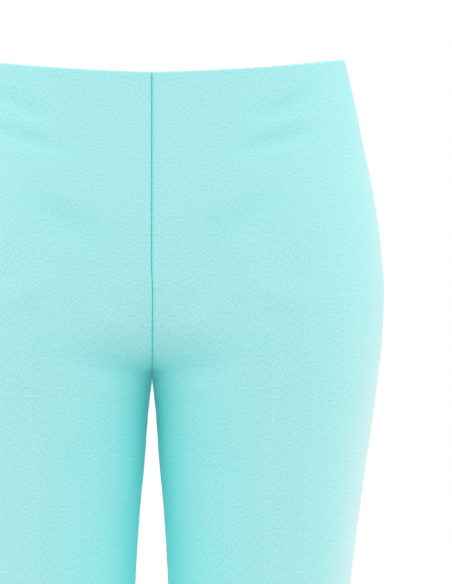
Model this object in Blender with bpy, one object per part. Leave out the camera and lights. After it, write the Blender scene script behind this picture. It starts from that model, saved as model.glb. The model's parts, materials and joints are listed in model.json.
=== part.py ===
"""Palazzo pants: high, plain-fronted trousers with pressed creases, hollow as worn.

Metres, +Z up. +X is the wearer's left, the front faces -Y. The origin is the middle of
the waist opening, level with the top of the side seams. Each side is cut as one front
and one back panel, from the waist to the hem, and a concealed zip closes the centre back.

A panel is a wall between two grids of points. A grid row is one horizontal section of
the garment, at one level below the waist; a grid column runs from the waist to the hem.
"""

import math

import bmesh
import bpy
import numpy as np
from mathutils import Matrix

MM = 0.001

# ---------------------------------------------------------------- driving dimensions
WALL = 1.2 * MM  # cloth with its allowances pressed behind it
SEAM_GAP = 0.3 * MM  # between neighbouring pieces
CROTCH = -0.246  # level where the two legs part
HEM = -1.040  # level of the hem
WAIST_TILT = 0.1426  # the waist lies lower in front: rise per metre towards the back
WAIST_SCOOP = 9.2 * MM  # and it is cut lower at the centre than at the sides
WAIST_SCOOP_POWER = 1.55
WAIST_FADE = 0.15  # length over which the rows level out below the waist
BACK_EASE = 2.0 * MM  # the back's top edge is cut this much lower again
BACK_EASE_REACH = 0.02  # behind the side seam

# One row for each section. half_width: centre plane to side seam. leg_gap: centre plane
# to inseam. front, back: y of the cloth's outermost points, and apex_x where they are.
# seam_y: y of side seam and inseam. crease_x: the pressed crease, and ridge: how far it
# stands out of the rounded leg. power: 2 is an ellipse, more is squarer.
SECTION_COLUMNS = (
    "level",
    "half_width",
    "leg_gap",
    "front",
    "back",
    "apex_x",
    "seam_y",
    "crease_x",
    "ridge",
    "power",
)
SECTIONS = (
    (0.000, 0.1485, 0.0000, -0.0975, 0.0975, 0.000, 0.000, 0.0860, 0.0000, 2.20),
    (-0.034, 0.1560, 0.0000, -0.1000, 0.1040, 0.012, 0.001, 0.0885, 0.0000, 2.20),
    (-0.071, 0.1636, 0.0000, -0.1025, 0.1135, 0.026, 0.003, 0.0915, 0.0000, 2.18),
    (-0.108, 0.1710, 0.0000, -0.1045, 0.1230, 0.040, 0.005, 0.0940, 0.0000, 2.16),
    (-0.144, 0.1761, 0.0000, -0.1055, 0.1300, 0.053, 0.007, 0.0958, 0.0000, 2.14),
    (-0.181, 0.1785, 0.0000, -0.1050, 0.1325, 0.065, 0.008, 0.0968, 0.0000, 2.12),
    (-0.215, 0.1770, 0.0000, -0.1025, 0.1280, 0.076, 0.008, 0.0970, 0.0000, 2.10),
    (-0.246, 0.1734, 0.0002, -0.0990, 0.1172, 0.083, 0.007, 0.0948, 0.0002, 2.10),
    (-0.273, 0.1700, 0.0031, -0.0955, 0.1060, 0.085, 0.005, 0.0912, 0.0004, 2.08),
    (-0.310, 0.1643, 0.0061, -0.0915, 0.0955, 0.085, 0.003, 0.0885, 0.0007, 2.06),
    (-0.347, 0.1592, 0.0092, -0.0880, 0.0885, 0.084, 0.001, 0.0868, 0.0009, 2.04),
    (-0.402, 0.1520, 0.0126, -0.0830, 0.0810, 0.082, 0.000, 0.0856, 0.0014, 2.02),
    (-0.460, 0.1470, 0.0150, -0.0780, 0.0745, 0.081, 0.000, 0.0846, 0.0024, 2.00),
    (-0.530, 0.1448, 0.0164, -0.0740, 0.0700, 0.081, 0.000, 0.0842, 0.0036, 1.98),
    (-0.610, 0.1472, 0.0166, -0.0738, 0.0712, 0.082, 0.000, 0.0854, 0.0050, 1.96),
    (-0.700, 0.1542, 0.0156, -0.0785, 0.0790, 0.085, 0.001, 0.0888, 0.0062, 1.93),
    (-0.800, 0.1642, 0.0144, -0.0865, 0.0890, 0.089, 0.002, 0.0930, 0.0074, 1.92),
    (-0.920, 0.1768, 0.0132, -0.0965, 0.1010, 0.095, 0.003, 0.0980, 0.0086, 1.90),
    (-1.040, 0.1900, 0.0122, -0.1065, 0.1125, 0.101, 0.004, 0.1030, 0.0098, 1.90),
)

# Above the crotch each side is still one rounded lobe that the centre plane cuts off.
# height: above the crotch. The others: how far past the centre plane the lobe reaches.
LOBE_COLUMNS = ("height", "front_reach", "back_reach")
LOBES = (
    (0.000, 0.0000, 0.0000),
    (0.002, 0.0008, 0.0008),
    (0.006, 0.0045, 0.0042),
    (0.012, 0.0155, 0.0145),
    (0.022, 0.048, 0.042),
    (0.036, 0.104, 0.082),
    (0.060, 0.185, 0.135),
    (0.100, 0.260, 0.200),
    (0.150, 0.300, 0.260),
    (0.244, 0.300, 0.300),
)

# Soft hollows, straight in the front view: from (x, z) to (x, z), mirrored on the other
# side. depth is negative where the cloth stands proud. spread: half of the width.
FOLD_COLUMNS = ("panel", "from_x", "from_z", "to_x", "to_z", "depth", "spread")
FOLDS = (
    ("front", 0.078, -0.034, 0.124, -0.016, 1.6 * MM, 10 * MM),
    ("front", 0.060, -0.068, 0.136, -0.044, 1.4 * MM, 15 * MM),
    ("front", 0.040, -0.142, 0.118, -0.098, 1.6 * MM, 26 * MM),
    ("front", 0.012, -0.228, 0.072, -0.200, 1.0 * MM, 15 * MM),
    ("front", 0.020, -0.268, 0.074, -0.318, 1.6 * MM, 16 * MM),
    ("front", 0.094, -0.205, 0.104, -0.180, -1.4 * MM, 24 * MM),
    ("front", 0.120, -0.560, 0.060, -0.600, 2.0 * MM, 18 * MM),
    ("front", 0.054, -0.700, 0.046, -1.060, 3.4 * MM, 15 * MM),
    ("front", 0.136, -0.660, 0.152, -1.060, 3.8 * MM, 17 * MM),
    ("back", 0.050, -0.052, 0.120, -0.040, 1.6 * MM, 14 * MM),
    ("back", 0.030, -0.232, 0.120, -0.270, 2.2 * MM, 15 * MM),
    ("back", 0.034, -0.294, 0.130, -0.316, 2.4 * MM, 15 * MM),
    ("back", 0.030, -0.352, 0.120, -0.372, 2.0 * MM, 16 * MM),
    ("back", 0.124, -0.590, 0.050, -0.628, 2.6 * MM, 18 * MM),
    ("back", 0.130, -0.640, 0.062, -0.690, 2.0 * MM, 18 * MM),
    ("back", 0.058, -0.740, 0.048, -1.060, 4.0 * MM, 16 * MM),
    ("back", 0.130, -0.700, 0.150, -1.060, 3.6 * MM, 18 * MM),
)
FOLD_TAIL = 0.12  # share of its length that a fold runs on past each end
FOLD_EDGE_FADE = 0.018  # folds die away over this length next to a side seam or inseam
RIDGE_WIDTH_TOP = 10 * MM  # a pressed crease falls off over this length at the thigh
RIDGE_WIDTH_HEM = 26 * MM

# Where the grid's columns stand, as shares of the way from the centre seam or inseam to
# the crease, and from the crease to the side seam: closer together at the crease.
TO_CREASE = (0.0, 0.14, 0.29, 0.44, 0.58, 0.71, 0.83, 0.93, 1.0)
FROM_CREASE = (0.07, 0.17, 0.29, 0.43, 0.58, 0.72, 0.86, 1.0)

# Heights of the rows above the crotch, and depths below it, where the section changes
# fast. Between them and the waist or the hem the rows are evenly spaced.
ROWS_ABOVE_CROTCH = (0.040, 0.031, 0.023, 0.0165, 0.011, 0.007, 0.004, 0.0018, 0.0004)
ROWS_BELOW_CROTCH = (0.0025, 0.007, 0.014, 0.024, 0.038)
WAIST_ROW_STEP = 0.021
LEG_ROW_STEP = 0.031
SECTION_SAMPLES = 721

# ---------------------------------------------------------------- zip, centre back
SLIDER_DROP = 0.016  # the slider's middle, below the back's top edge
SLIDER_SIZE = (5.6 * MM, 1.0 * MM, 8.0 * MM)  # x, away from the cloth, along the seam
EAR_SIZE = (1.0 * MM, 3.6 * MM, 3.4 * MM)
EAR_INSET = 0.1 * MM  # from the plate's side
EAR_SINK = 0.2 * MM  # how deep an ear is rooted in the plate
PIN_RADIUS = 0.55 * MM
PIN_STANDOFF = 2.4 * MM  # from the plate's face to the pin's axis
BARREL_RADIUS = 1.45 * MM
BARREL_BORE = 0.85 * MM
BARREL_LENGTH = 2.4 * MM
TAB_LENGTH = 21.0 * MM  # from the pin's axis to the tip
TAB_NECK = 1.1 * MM  # half width at the pin
TAB_BULB = 2.9 * MM  # half width at its widest
TAB_THICKNESS = 1.1 * MM
TAB_STEPS = 15  # points down each edge, and again round the bulb
TAB_REST_GAP = 0.4 * MM  # between the tip and the cloth that it hangs against
ROUND_SIDES = 20
LEAN_REACH = 8 * MM  # length of seam over which the cloth's lean is taken

CLOTH_COLOUR = (0.402, 0.822, 0.822, 1.0)
ZIP_COLOUR = (0.36, 0.77, 0.77, 1.0)


# ---------------------------------------------------------------- tables and curves
def smooth_column(xs, ys):
    """A curve through the table's points that never overshoots them (monotone cubic)."""
    order = np.argsort(xs)
    xs, ys = np.asarray(xs, float)[order], np.asarray(ys, float)[order]
    step = np.diff(xs)
    slope = np.diff(ys) / step
    tangent = np.zeros_like(ys)
    before, after = slope[:-1], slope[1:]
    same_way = before * after > 0
    weight_a, weight_b = 2 * step[1:] + step[:-1], step[1:] + 2 * step[:-1]
    blend = (weight_a + weight_b) / (
        weight_a / np.where(same_way, before, 1) + weight_b / np.where(same_way, after, 1)
    )
    tangent[1:-1] = np.where(same_way, blend, 0)
    tangent[0], tangent[-1] = slope[0], slope[-1]

    def curve(x):
        x = np.clip(x, xs[0], xs[-1])
        i = np.clip(np.searchsorted(xs, x) - 1, 0, len(step) - 1)
        t = (x - xs[i]) / step[i]
        return (
            ys[i] * (1 + 2 * t) * (1 - t) ** 2
            + ys[i + 1] * t * t * (3 - 2 * t)
            + step[i] * t * (1 - t) * (tangent[i] * (1 - t) - tangent[i + 1] * t)
        )

    return curve


def columns(names, rows):
    """Every column of a table but the first, as a smooth curve over the first."""
    values = np.array(rows, float).T
    return {name: smooth_column(values[0], column) for name, column in zip(names[1:], values[1:])}


SECTION = columns(SECTION_COLUMNS, SECTIONS)
LOBE = columns(LOBE_COLUMNS, LOBES)


def smoothstep(x):
    x = np.clip(x, 0, 1)
    return x * x * (3 - 2 * x)


def row_levels():
    """The grid's levels, from the waist to the hem."""
    top = CROTCH + ROWS_ABOVE_CROTCH[0]
    bottom = CROTCH - ROWS_BELOW_CROTCH[-1]
    waist_rows = round(-top / WAIST_ROW_STEP)
    leg_rows = round((bottom - HEM) / LEG_ROW_STEP)
    return np.concatenate(
        [
            np.linspace(0, top, waist_rows + 1)[:-1],
            CROTCH + np.array(ROWS_ABOVE_CROTCH),
            CROTCH - np.array(ROWS_BELOW_CROTCH),
            np.linspace(bottom, HEM, leg_rows + 1)[1:],
        ]
    )


# ---------------------------------------------------------------- one panel
def section_curve(panel, level):
    """Half a section of the left side, from the centre seam or inseam to the side seam.

    Two quarters of superellipses meet at its outermost point. The inner one ends at the
    inseam, or above the crotch past the centre plane, which cuts it off. Returns the
    points, their outward normals and the length of the curve up to each.
    """
    facing = -1 if panel == "front" else 1
    seam_y = SECTION["seam_y"](level)
    depth = abs(SECTION[panel](level) - seam_y)
    apex = SECTION["apex_x"](level)
    outer = SECTION["half_width"](level)
    inner = SECTION["leg_gap"](level)
    if level > CROTCH:
        inner = -LOBE[panel + "_reach"](level - CROTCH)
    nearest = max(SEAM_GAP / 2, inner)
    apex = max(apex, nearest)
    power = SECTION["power"](level)
    start = math.acos(min(1.0, (apex - nearest) / (apex - inner)) ** (power / 2))
    angle = np.linspace(start, math.pi, SECTION_SAMPLES)
    reach = np.where(angle < math.pi / 2, apex - inner, outer - apex)
    x = apex - reach * np.sign(np.cos(angle)) * np.abs(np.cos(angle)) ** (2 / power)
    x = np.maximum(x, nearest)
    y = seam_y + facing * np.maximum(depth * np.abs(np.sin(angle)) ** (2 / power), SEAM_GAP / 2)
    length = np.concatenate([[0], np.cumsum(np.hypot(np.diff(x), np.diff(y)))])
    tangent = np.gradient(np.stack([x, y], 1), axis=0)
    normal = np.stack([tangent[:, 1], -tangent[:, 0]], 1) * -facing
    normal /= np.linalg.norm(normal, axis=1)[:, None]
    normal[-1] = (1, 0)
    if level <= CROTCH:
        normal[0] = (-1, 0)
    return np.stack([x, y], 1), normal, length


def fold_depth(panel, x, level, length):
    """How far the folds move the cloth inwards at these points of one section.

    Each fold is a valley with a bell-shaped cross section along a straight line, which
    swells from its start to its middle and dies away past its ends.
    """
    depth = np.zeros_like(x)
    for fold in FOLDS:
        row = dict(zip(FOLD_COLUMNS, fold))
        if row["panel"] != panel:
            continue
        run = np.array([row["to_x"] - row["from_x"], row["to_z"] - row["from_z"]])
        reach = float(np.hypot(*run))
        way = run / reach
        from_start = (x - row["from_x"]) * way[0] + (level - row["from_z"]) * way[1]
        across = (x - row["from_x"]) * way[1] - (level - row["from_z"]) * way[0]
        share = from_start / reach
        swell = np.sin(np.pi * np.clip((share + FOLD_TAIL) / (1 + 2 * FOLD_TAIL), 0, 1)) ** 1.5
        depth += row["depth"] * swell * np.exp(-((across / row["spread"]) ** 2))
    near_side = smoothstep((length[-1] - length) / FOLD_EDGE_FADE)
    near_inseam = smoothstep(length / FOLD_EDGE_FADE) if level <= CROTCH else 1.0
    return depth * near_side * near_inseam


def panel_row(panel, level):
    """One grid row of a left panel: outer points, inner points (x, y, z)."""
    points, normal, length = section_curve(panel, level)
    crease_x = SECTION["crease_x"](level)
    to_crease = np.interp(crease_x, points[:, 0], length)
    from_crease = length[-1] - to_crease
    at = np.concatenate(
        [np.array(TO_CREASE) * to_crease, to_crease + np.array(FROM_CREASE) * from_crease]
    )
    x, y = (np.interp(at, length, points[:, axis]) for axis in (0, 1))
    nx, ny = (np.interp(at, length, normal[:, axis]) for axis in (0, 1))
    size = np.hypot(nx, ny)
    nx, ny = nx / size, ny / size
    down_leg = smoothstep((CROTCH - level) / (CROTCH - HEM))
    ridge_width = RIDGE_WIDTH_TOP + (RIDGE_WIDTH_HEM - RIDGE_WIDTH_TOP) * down_leg
    ridge = SECTION["ridge"](level) * np.exp(-np.abs(at - to_crease) / ridge_width)
    ridge[0] = ridge[-1] = 0
    out = ridge - fold_depth(panel, x, level, at)
    x, y = x + nx * out, y + ny * out
    rise = waist_line(x, y, SECTION["half_width"](level))
    z = level + rise * smoothstep(1 + level / WAIST_FADE)
    return np.stack([x, y, z], 1), np.stack([x - nx * WALL, y - ny * WALL, z], 1)


def waist_line(x, y, half_width):
    """Height of the top edge above the side seams' tops: a tilted plane, scooped."""
    to_centre = 1 - np.clip(x / half_width, 0, 1) ** WAIST_SCOOP_POWER
    back = smoothstep(y / BACK_EASE_REACH)
    return WAIST_TILT * y - (WAIST_SCOOP + BACK_EASE * back) * to_centre


def panel_grids(panel):
    rows = [panel_row(panel, level) for level in row_levels()]
    return np.array([r[0] for r in rows]), np.array([r[1] for r in rows])


def wall_mesh(name, outer, inner, side):
    """A closed wall between two grids. side is 1 for the left, -1 for its mirror."""
    rows, cols = outer.shape[:2]
    points = np.concatenate([outer.reshape(-1, 3), inner.reshape(-1, 3)])
    points[:, 0] *= side
    index = np.arange(rows * cols).reshape(rows, cols)
    back = index + rows * cols

    def strip(a, b):
        return [(a[i], a[i + 1], b[i + 1], b[i]) for i in range(len(a) - 1)]

    faces = []
    for r in range(rows - 1):
        faces += strip(index[r], index[r + 1])
        faces += strip(back[r + 1], back[r])
    faces += strip(back[0], index[0]) + strip(index[-1], back[-1])
    faces += strip(index[:, 0], back[:, 0]) + strip(back[:, -1], index[:, -1])
    mesh = bpy.data.meshes.new(name)
    mesh.from_pydata(points.tolist(), [], [tuple(int(v) for v in f) for f in faces])
    sew = bmesh.new()
    sew.from_mesh(mesh)
    bmesh.ops.triangulate(sew, faces=sew.faces, quad_method="SHORT_EDGE")
    bmesh.ops.recalc_face_normals(sew, faces=sew.faces)
    sew.to_mesh(mesh)
    sew.free()
    mesh.shade_smooth()
    mesh.set_sharp_from_angle(angle=math.radians(50))
    return mesh


def finish(name, colour, roughness, metallic=0.0):
    material = bpy.data.materials.new(name)
    material.use_nodes = True
    shader = material.node_tree.nodes["Principled BSDF"]
    shader.inputs["Base Color"].default_value = colour
    shader.inputs["Roughness"].default_value = roughness
    shader.inputs["Metallic"].default_value = metallic
    return material


def add(name, mesh, material, parent):
    item = bpy.data.objects.new(name, mesh)
    mesh.materials.clear()
    mesh.materials.append(material)
    bpy.context.scene.collection.objects.link(item)
    item.parent = parent
    return item


# ---------------------------------------------------------------- zip
def box_mesh(name, size, centre):
    mesh = bpy.data.meshes.new(name)
    shape = bmesh.new()
    bmesh.ops.create_cube(shape, size=1)
    bmesh.ops.scale(shape, vec=size, verts=shape.verts)
    bmesh.ops.translate(shape, vec=centre, verts=shape.verts)
    shape.to_mesh(mesh)
    shape.free()
    return mesh


def rod_mesh(name, radius, length, centre):
    """A round rod along X."""
    mesh = bpy.data.meshes.new(name)
    shape = bmesh.new()
    bmesh.ops.create_cone(
        shape, cap_ends=True, segments=ROUND_SIDES, radius1=radius, radius2=radius, depth=length
    )
    bmesh.ops.rotate(shape, matrix=Matrix.Rotation(math.pi / 2, 3, "Y"), verts=shape.verts)
    bmesh.ops.translate(shape, vec=centre, verts=shape.verts)
    shape.to_mesh(mesh)
    shape.free()
    return mesh


def tab_outline():
    """Depths below the pin and half widths there of the pull tab: a drop, narrow on top."""
    way = np.linspace(0, 1, TAB_STEPS)
    bulb_end = TAB_LENGTH - TAB_BULB
    z = np.concatenate([way * bulb_end, bulb_end + np.sin(way[1:-1] * math.pi / 2) * TAB_BULB])
    grow = smoothstep(np.clip(z / bulb_end, 0, 1))
    round_off = np.sqrt(np.maximum(0, 1 - (np.clip(z - bulb_end, 0, TAB_BULB) / TAB_BULB) ** 2))
    return z, (TAB_NECK + (TAB_BULB - TAB_NECK) * grow) * round_off


def tab_mesh(name):
    """The drop-shaped plate, hanging down from the pin, its face along XZ."""
    z, half = tab_outline()
    ring = [(w, -d) for w, d in zip(half, z)] + [(0, -TAB_LENGTH)]
    ring += [(-w, -d) for w, d in zip(half[::-1], z[::-1])]
    mesh = bpy.data.meshes.new(name)
    shape = bmesh.new()
    face = shape.faces.new([shape.verts.new((x, -TAB_THICKNESS / 2, d)) for x, d in ring])
    grown = bmesh.ops.extrude_face_region(shape, geom=[face])["geom"]
    lifted = [v for v in grown if isinstance(v, bmesh.types.BMVert)]
    bmesh.ops.translate(shape, vec=(0, TAB_THICKNESS, 0), verts=lifted)
    bmesh.ops.recalc_face_normals(shape, faces=shape.faces)
    shape.to_mesh(mesh)
    shape.free()
    return mesh


def combine(target, operation, tool):
    cut = target.modifiers.new(operation.lower() + "_" + tool.name, "BOOLEAN")
    cut.operation = operation
    cut.solver = "EXACT"
    cut.object = tool
    tool.hide_render = True
    tool.display_type = "WIRE"


def centre_back(drop):
    """The centre back seam at a depth below its top edge: y, z, and the cloth's lean."""
    outer, _ = panel_grids("back")
    seam_y, seam_z = outer[::-1, 0, 1], outer[::-1, 0, 2]
    z = seam_z[-1] - drop
    y, y_below = np.interp([z, z - LEAN_REACH], seam_z, seam_y)
    return float(y), float(z), math.atan2(y_below - y, LEAN_REACH)


def empty(name, parent, place, lean=0.0):
    """An invisible holder, leaning back from the vertical."""
    holder = bpy.data.objects.new(name, None)
    bpy.context.scene.collection.objects.link(holder)
    holder.parent = parent
    holder.location = place
    holder.rotation_euler = (lean, 0, 0)
    return holder


def build_zip(garment, material):
    """The slider's plate with its ears and pin, and the pull tab that turns on the pin."""
    plate_x, plate_deep, _ = SLIDER_SIZE
    y, z, lean = centre_back(SLIDER_DROP)
    seat = empty("zip_seat", garment, (0, y + SEAM_GAP, z), lean)
    plate = box_mesh("zip_slider", SLIDER_SIZE, (0, plate_deep / 2, 0))
    slider = add("zip_slider", plate, material, seat)
    for side in (-1, 1):
        ear_x = side * (plate_x / 2 - EAR_SIZE[0] / 2 - EAR_INSET)
        ear_y = plate_deep - EAR_SINK + EAR_SIZE[1] / 2
        ear = add(f"ear_{side}", box_mesh("ear", EAR_SIZE, (ear_x, ear_y, 0)), material, seat)
        combine(slider, "UNION", ear)
    out = plate_deep + PIN_STANDOFF
    pin_mesh = rod_mesh("pin", PIN_RADIUS, plate_x - EAR_SIZE[0], (0, out, 0))
    combine(slider, "UNION", add("pin", pin_mesh, material, seat))

    # the tab leans in until its tip is just clear of the cloth below the slider
    out += SEAM_GAP
    pin_y, pin_z = y + out * math.cos(lean), z + out * math.sin(lean)
    tip_y, tip_z, tip_lean = centre_back(SLIDER_DROP + TAB_LENGTH)
    tip_y += (TAB_REST_GAP + TAB_THICKNESS / 2) / math.cos(tip_lean)
    hang = math.atan2(tip_y - pin_y, pin_z - tip_z)
    axle = empty("zip_axle", garment, (0, pin_y, pin_z), hang)
    pull = add("zip_pull", tab_mesh("zip_pull"), material, axle)
    barrel = rod_mesh("barrel", BARREL_RADIUS, BARREL_LENGTH, (0, 0, 0))
    combine(pull, "UNION", add("barrel", barrel, material, axle))
    bore = rod_mesh("bore", BARREL_BORE, BARREL_LENGTH * 3, (0, 0, 0))
    combine(pull, "DIFFERENCE", add("bore", bore, material, axle))


def main():
    for item in list(bpy.data.objects):
        bpy.data.objects.remove(item, do_unlink=True)
    garment = bpy.data.objects.new("trousers", None)
    bpy.context.scene.collection.objects.link(garment)
    cloth = finish("aqua_suiting", CLOTH_COLOUR, 0.85)
    zip_paint = finish("aqua_zip", ZIP_COLOUR, 0.45)
    for panel in ("front", "back"):
        outer, inner = panel_grids(panel)
        for word, side in (("left", 1), ("right", -1)):
            name = f"{panel}_{word}"
            add(name, wall_mesh(name, outer, inner, side), cloth, garment)
    build_zip(garment, zip_paint)


main()
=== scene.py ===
# %% [markdown]
# # Palazzo pants: plain-fronted aqua trousers, hollow as worn
# The pieces are the ones a maker cuts: two fronts, two backs and a concealed zip in the
# centre back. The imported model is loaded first. It fixes every size and place, and the
# cloth made below is only a finer, thinner version of its four panels.

# %% Load the frame
import json
import math
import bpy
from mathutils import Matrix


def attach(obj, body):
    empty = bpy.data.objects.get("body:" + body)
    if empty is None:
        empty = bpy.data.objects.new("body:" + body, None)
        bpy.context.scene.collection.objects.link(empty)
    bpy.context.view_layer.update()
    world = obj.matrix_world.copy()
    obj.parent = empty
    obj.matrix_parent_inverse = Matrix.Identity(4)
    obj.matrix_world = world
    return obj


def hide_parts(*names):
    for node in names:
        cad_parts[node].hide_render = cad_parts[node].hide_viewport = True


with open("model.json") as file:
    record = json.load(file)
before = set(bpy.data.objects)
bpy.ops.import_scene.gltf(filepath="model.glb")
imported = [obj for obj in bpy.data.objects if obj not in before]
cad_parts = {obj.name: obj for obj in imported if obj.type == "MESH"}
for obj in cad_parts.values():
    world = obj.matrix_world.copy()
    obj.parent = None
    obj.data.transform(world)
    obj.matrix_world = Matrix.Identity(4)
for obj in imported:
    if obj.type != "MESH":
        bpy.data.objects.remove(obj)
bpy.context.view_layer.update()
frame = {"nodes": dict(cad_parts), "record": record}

from types import SimpleNamespace

import bmesh
import bpy
import numpy as np
from mathutils import Vector

MM = 0.001

# %% [markdown]
# ## Camera
# The photo is a close crop of the top of the garment, taken square on from the front. The
# waist curves down in the middle and no inside of the back shows over it, so the camera
# stands lower than the waist: about knee height, and far off with a long lens. Aiming it
# at the middle of the frame gives the crop without any lens shift.

# %% Camera at the photo's view
FRAME_WIDTH, FRAME_HEIGHT = 452, 584  # pixels
CENTRE_SEAM_PX = 152  # where the centre plane falls in the photo
SIDE_TOP_PX = 57.4  # where the origin's level falls in it
METRES_PER_PIXEL = 0.000768
SENSOR = 36.0  # millimetres, along the frame's longer side
CLIP_END = 50  # metres
camera_place = Vector((0.0, -3.5, -0.5))
aim = Vector(
    (
        (FRAME_WIDTH / 2 - CENTRE_SEAM_PX) * METRES_PER_PIXEL,
        0.0,
        (SIDE_TOP_PX - FRAME_HEIGHT / 2) * METRES_PER_PIXEL,
    )
)
camera_data = bpy.data.cameras.new("camera")
camera_data.lens = SENSOR * (aim - camera_place).length / (FRAME_HEIGHT * METRES_PER_PIXEL)
camera_data.sensor_width = SENSOR
camera_data.clip_end = CLIP_END
camera = bpy.data.objects.new("camera", camera_data)
camera.location = camera_place
camera.rotation_euler = (aim - camera_place).to_track_quat("-Z", "Y").to_euler()
bpy.context.scene.collection.objects.link(camera)
bpy.context.scene.camera = camera
print("lens", round(camera_data.lens), "mm")

# %% [markdown]
# ## The cut, as tables
# A worn trouser leg is a stack of rounded sections. Each row below is one section, from
# the waist down: how wide it is, how far front and back reach, and where the pressed
# crease runs. A smooth curve through each column gives the sizes at every level between.

# %% Sections of the garment
SECTION_COLUMNS = (
    "level",
    "half_width",
    "leg_gap",
    "front",
    "back",
    "apex_x",
    "seam_y",
    "crease_x",
    "ridge",
    "power",
)
SECTIONS = (
    (0.000, 0.1485, 0.0000, -0.0975, 0.0975, 0.000, 0.000, 0.0860, 0.0000, 2.20),
    (-0.034, 0.1560, 0.0000, -0.1000, 0.1040, 0.012, 0.001, 0.0885, 0.0000, 2.20),
    (-0.071, 0.1636, 0.0000, -0.1025, 0.1135, 0.026, 0.003, 0.0915, 0.0000, 2.18),
    (-0.108, 0.1710, 0.0000, -0.1045, 0.1230, 0.040, 0.005, 0.0940, 0.0000, 2.16),
    (-0.144, 0.1761, 0.0000, -0.1055, 0.1300, 0.053, 0.007, 0.0958, 0.0000, 2.14),
    (-0.181, 0.1785, 0.0000, -0.1050, 0.1325, 0.065, 0.008, 0.0968, 0.0000, 2.12),
    (-0.215, 0.1770, -0.0036, -0.1025, 0.1280, 0.076, 0.008, 0.0970, 0.0000, 2.10),
    (-0.246, 0.1734, 0.0000, -0.0990, 0.1172, 0.083, 0.007, 0.0948, 0.0002, 2.10),
    (-0.273, 0.1700, 0.0031, -0.0955, 0.1060, 0.085, 0.005, 0.0912, 0.0004, 2.08),
    (-0.310, 0.1643, 0.0057, -0.0915, 0.0955, 0.085, 0.003, 0.0885, 0.0007, 2.06),
    (-0.347, 0.1592, 0.0092, -0.0880, 0.0885, 0.084, 0.001, 0.0868, 0.0009, 2.04),
    (-0.402, 0.1520, 0.0126, -0.0830, 0.0810, 0.082, 0.000, 0.0856, 0.0014, 2.02),
    (-0.460, 0.1470, 0.0150, -0.0780, 0.0745, 0.081, 0.000, 0.0846, 0.0024, 2.00),
    (-0.530, 0.1448, 0.0164, -0.0740, 0.0700, 0.081, 0.000, 0.0842, 0.0036, 1.98),
    (-0.610, 0.1472, 0.0166, -0.0738, 0.0712, 0.082, 0.000, 0.0854, 0.0050, 1.96),
    (-0.700, 0.1542, 0.0156, -0.0785, 0.0790, 0.085, 0.001, 0.0888, 0.0062, 1.93),
    (-0.800, 0.1642, 0.0144, -0.0865, 0.0890, 0.089, 0.002, 0.0930, 0.0074, 1.92),
    (-0.920, 0.1768, 0.0132, -0.0965, 0.1010, 0.095, 0.003, 0.0980, 0.0086, 1.90),
    (-1.040, 0.1900, 0.0122, -0.1065, 0.1125, 0.101, 0.004, 0.1030, 0.0098, 1.90),
)
# How far each side's lobe would reach past the centre plane, by height above the crotch.
LOBE_COLUMNS = ("height", "front_reach", "back_reach")
LOBES = (
    (0.000, 0.0000, 0.0000),
    (0.002, 0.0003, 0.0003),
    (0.006, 0.0028, 0.0026),
    (0.012, 0.0130, 0.0120),
    (0.022, 0.046, 0.040),
    (0.036, 0.104, 0.082),
    (0.060, 0.185, 0.135),
    (0.100, 0.260, 0.200),
    (0.150, 0.300, 0.260),
    (0.244, 0.300, 0.300),
)
WAIST, HIPS, CROTCH, HEM = 0.0, -0.181, -0.246, -1.040
SEAM_GAP = 0.3 * MM


def smooth_column(xs, ys):
    """A curve through the points that never overshoots them.

    Each stretch is the cubic fixed by its two ends and their slopes. A slope is a weighted
    harmonic mean of the straight slopes on both sides, and 0 at a peak or a valley.
    """
    order = np.argsort(xs)
    xs, ys = np.asarray(xs, float)[order], np.asarray(ys, float)[order]
    step = np.diff(xs)
    slope = np.diff(ys) / step
    before, after = slope[:-1], slope[1:]
    same_way = before * after > 0
    weight_a, weight_b = 2 * step[1:] + step[:-1], step[1:] + 2 * step[:-1]
    blend = (weight_a + weight_b) / (
        weight_a / np.where(same_way, before, 1) + weight_b / np.where(same_way, after, 1)
    )
    tangent = np.concatenate([slope[:1], np.where(same_way, blend, 0), slope[-1:]])

    def curve(x):
        x = np.clip(x, xs[0], xs[-1])
        i = np.clip(np.searchsorted(xs, x) - 1, 0, len(step) - 1)
        t = (x - xs[i]) / step[i]
        return (
            ys[i] * (1 + 2 * t) * (1 - t) ** 2
            + ys[i + 1] * t * t * (3 - 2 * t)
            + step[i] * t * (1 - t) * (tangent[i] * (1 - t) - tangent[i + 1] * t)
        )

    return curve


def columns(names, rows):
    """Every column of a table but the first, as a smooth curve over the first."""
    values = np.array(rows, float).T
    return {name: smooth_column(values[0], column) for name, column in zip(names[1:], values[1:])}


def smoothstep(x):
    """0 below 0, 1 above 1, and 3x^2 - 2x^3 between."""
    x = np.clip(x, 0, 1)
    return x * x * (3 - 2 * x)


SECTION = columns(SECTION_COLUMNS, SECTIONS)
LOBE = columns(LOBE_COLUMNS, LOBES)
print("hem half width", float(SECTION["half_width"](HEM)))

# %% [markdown]
# ## One section as a curve
# Two quarters of superellipses meet at the outermost point of the cloth. The outer one
# ends at the side seam. The inner one ends at the inseam, and above the crotch it runs on
# past the centre plane, which cuts it off: that alone gives the curved centre seam, the
# valley beside it and the crotch. All levels are worked out at once, one array row each.

# %% Half sections, from the inner seam to the side seam
SAMPLES = 601


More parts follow.
